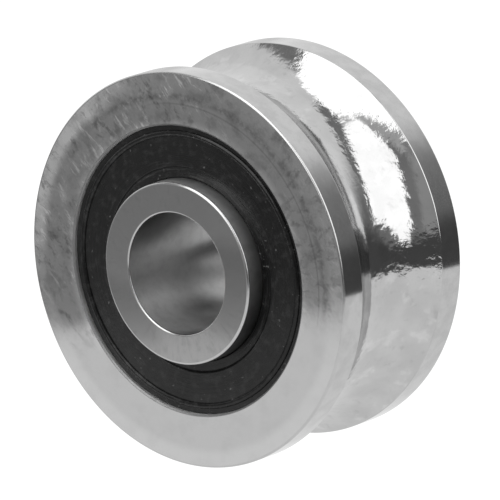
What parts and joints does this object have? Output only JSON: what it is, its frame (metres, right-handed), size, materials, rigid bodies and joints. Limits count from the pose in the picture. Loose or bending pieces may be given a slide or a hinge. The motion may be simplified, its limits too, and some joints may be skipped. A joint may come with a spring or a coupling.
{
  "type": "u-groove bearing",
  "caption": "Small track roller ball bearing whose outer ring has a rounded groove for a rail, with rubber seals and a through bore.",
  "frame": {"origin": "centre of the bearing, on the axis and midway between the ends of the inner ring", "axes": "+Z along the bearing's axis, out of the end that the picture shows; X and Y across it"},
  "size_m": [0.013, 0.013, 0.007],
  "materials": {
    "outer_ring_steel": "ground bearing steel, polished groove",
    "inner_ring_steel": "ground bearing steel",
    "ball_steel": "polished",
    "seal_rubber": "moulded nitrile, semi-matt",
    "cage_nylon": "natural nylon"
  },
  "bodies": {
    "inner": {"inner_ring": "inner_ring_steel"},
    "outer": {"outer_ring": "outer_ring_steel", "top_seal": "seal_rubber", "bottom_seal": "seal_rubber"},
    "top_cage_body": {"top_cage": "cage_nylon"},
    "top_ball_1_body": {"top_ball_1": "ball_steel"},
    "top_ball_2_body": {"top_ball_2": "ball_steel"},
    "top_ball_3_body": {"top_ball_3": "ball_steel"},
    "top_ball_4_body": {"top_ball_4": "ball_steel"},
    "top_ball_5_body": {"top_ball_5": "ball_steel"},
    "top_ball_6_body": {"top_ball_6": "ball_steel"},
    "top_ball_7_body": {"top_ball_7": "ball_steel"},
    "top_ball_8_body": {"top_ball_8": "ball_steel"},
    "bottom_cage_body": {"bottom_cage": "cage_nylon"},
    "bottom_ball_1_body": {"bottom_ball_1": "ball_steel"},
    "bottom_ball_2_body": {"bottom_ball_2": "ball_steel"},
    "bottom_ball_3_body": {"bottom_ball_3": "ball_steel"},
    "bottom_ball_4_body": {"bottom_ball_4": "ball_steel"},
    "bottom_ball_5_body": {"bottom_ball_5": "ball_steel"},
    "bottom_ball_6_body": {"bottom_ball_6": "ball_steel"},
    "bottom_ball_7_body": {"bottom_ball_7": "ball_steel"},
    "bottom_ball_8_body": {"bottom_ball_8": "ball_steel"}
  },
  "joints": [
    {"name": "outer_spin", "type": "hinge", "parent": "inner", "child": "outer", "pos_m": [0, 0, 0], "axis": [0, 0, 1], "continuous": true},
    {"name": "top_cage_spin", "type": "hinge", "parent": "inner", "child": "top_cage_body", "pos_m": [0, 0, 0], "axis": [0, 0, 1], "continuous": true},
    {"name": "top_ball_1_spin", "type": "hinge", "parent": "top_cage_body", "child": "top_ball_1_body", "pos_m": [0.0035, 0, 0.00106], "axis": [0, 0, 1], "continuous": true},
    {"name": "top_ball_2_spin", "type": "hinge", "parent": "top_cage_body", "child": "top_ball_2_body", "pos_m": [0.00247, 0.00247, 0.00106], "axis": [0, 0, 1], "continuous": true},
    {"name": "top_ball_3_spin", "type": "hinge", "parent": "top_cage_body", "child": "top_ball_3_body", "pos_m": [0, 0.0035, 0.00106], "axis": [0, 0, 1], "continuous": true},
    {"name": "top_ball_4_spin", "type": "hinge", "parent": "top_cage_body", "child": "top_ball_4_body", "pos_m": [-0.00247, 0.00247, 0.00106], "axis": [0, 0, 1], "continuous": true},
    {"name": "top_ball_5_spin", "type": "hinge", "parent": "top_cage_body", "child": "top_ball_5_body", "pos_m": [-0.0035, 0, 0.00106], "axis": [0, 0, 1], "continuous": true},
    {"name": "top_ball_6_spin", "type": "hinge", "parent": "top_cage_body", "child": "top_ball_6_body", "pos_m": [-0.00247, -0.00247, 0.00106], "axis": [0, 0, 1], "continuous": true},
    {"name": "top_ball_7_spin", "type": "hinge", "parent": "top_cage_body", "child": "top_ball_7_body", "pos_m": [0, -0.0035, 0.00106], "axis": [0, 0, 1], "continuous": true},
    {"name": "top_ball_8_spin", "type": "hinge", "parent": "top_cage_body", "child": "top_ball_8_body", "pos_m": [0.00247, -0.00247, 0.00106], "axis": [0, 0, 1], "continuous": true},
    {"name": "bottom_cage_spin", "type": "hinge", "parent": "inner", "child": "bottom_cage_body", "pos_m": [0, 0, 0], "axis": [0, 0, 1], "continuous": true},
    {"name": "bottom_ball_1_spin", "type": "hinge", "parent": "bottom_cage_body", "child": "bottom_ball_1_body", "pos_m": [0.0035, 0, -0.00106], "axis": [0, 0, 1], "continuous": true},
    {"name": "bottom_ball_2_spin", "type": "hinge", "parent": "bottom_cage_body", "child": "bottom_ball_2_body", "pos_m": [0.00247, 0.00247, -0.00106], "axis": [0, 0, 1], "continuous": true},
    {"name": "bottom_ball_3_spin", "type": "hinge", "parent": "bottom_cage_body", "child": "bottom_ball_3_body", "pos_m": [0, 0.0035, -0.00106], "axis": [0, 0, 1], "continuous": true},
    {"name": "bottom_ball_4_spin", "type": "hinge", "parent": "bottom_cage_body", "child": "bottom_ball_4_body", "pos_m": [-0.00247, 0.00247, -0.00106], "axis": [0, 0, 1], "continuous": true},
    {"name": "bottom_ball_5_spin", "type": "hinge", "parent": "bottom_cage_body", "child": "bottom_ball_5_body", "pos_m": [-0.0035, 0, -0.00106], "axis": [0, 0, 1], "continuous": true},
    {"name": "bottom_ball_6_spin", "type": "hinge", "parent": "bottom_cage_body", "child": "bottom_ball_6_body", "pos_m": [-0.00247, -0.00247, -0.00106], "axis": [0, 0, 1], "continuous": true},
    {"name": "bottom_ball_7_spin", "type": "hinge", "parent": "bottom_cage_body", "child": "bottom_ball_7_body", "pos_m": [0, -0.0035, -0.00106], "axis": [0, 0, 1], "continuous": true},
    {"name": "bottom_ball_8_spin", "type": "hinge", "parent": "bottom_cage_body", "child": "bottom_ball_8_body", "pos_m": [0.00247, -0.00247, -0.00106], "axis": [0, 0, 1], "continuous": true}
  ],
  "couplings": [
    {"joint": "top_cage_spin", "follows": "outer_spin", "ratio": 0.61343},
    {"joint": "top_ball_1_spin", "follows": "outer_spin", "ratio": 2.0906},
    {"joint": "top_ball_2_spin", "follows": "outer_spin", "ratio": 2.0906},
    {"joint": "top_ball_3_spin", "follows": "outer_spin", "ratio": 2.0906},
    {"joint": "top_ball_4_spin", "follows": "outer_spin", "ratio": 2.0906},
    {"joint": "top_ball_5_spin", "follows": "outer_spin", "ratio": 2.0906},
    {"joint": "top_ball_6_spin", "follows": "outer_spin", "ratio": 2.0906},
    {"joint": "top_ball_7_spin", "follows": "outer_spin", "ratio": 2.0906},
    {"joint": "top_ball_8_spin", "follows": "outer_spin", "ratio": 2.0906},
    {"joint": "bottom_cage_spin", "follows": "outer_spin", "ratio": 0.61343},
    {"joint": "bottom_ball_1_spin", "follows": "outer_spin", "ratio": 2.0906},
    {"joint": "bottom_ball_2_spin", "follows": "outer_spin", "ratio": 2.0906},
    {"joint": "bottom_ball_3_spin", "follows": "outer_spin", "ratio": 2.0906},
    {"joint": "bottom_ball_4_spin", "follows": "outer_spin", "ratio": 2.0906},
    {"joint": "bottom_ball_5_spin", "follows": "outer_spin", "ratio": 2.0906},
    {"joint": "bottom_ball_6_spin", "follows": "outer_spin", "ratio": 2.0906},
    {"joint": "bottom_ball_7_spin", "follows": "outer_spin", "ratio": 2.0906},
    {"joint": "bottom_ball_8_spin", "follows": "outer_spin", "ratio": 2.0906}
  ]
}
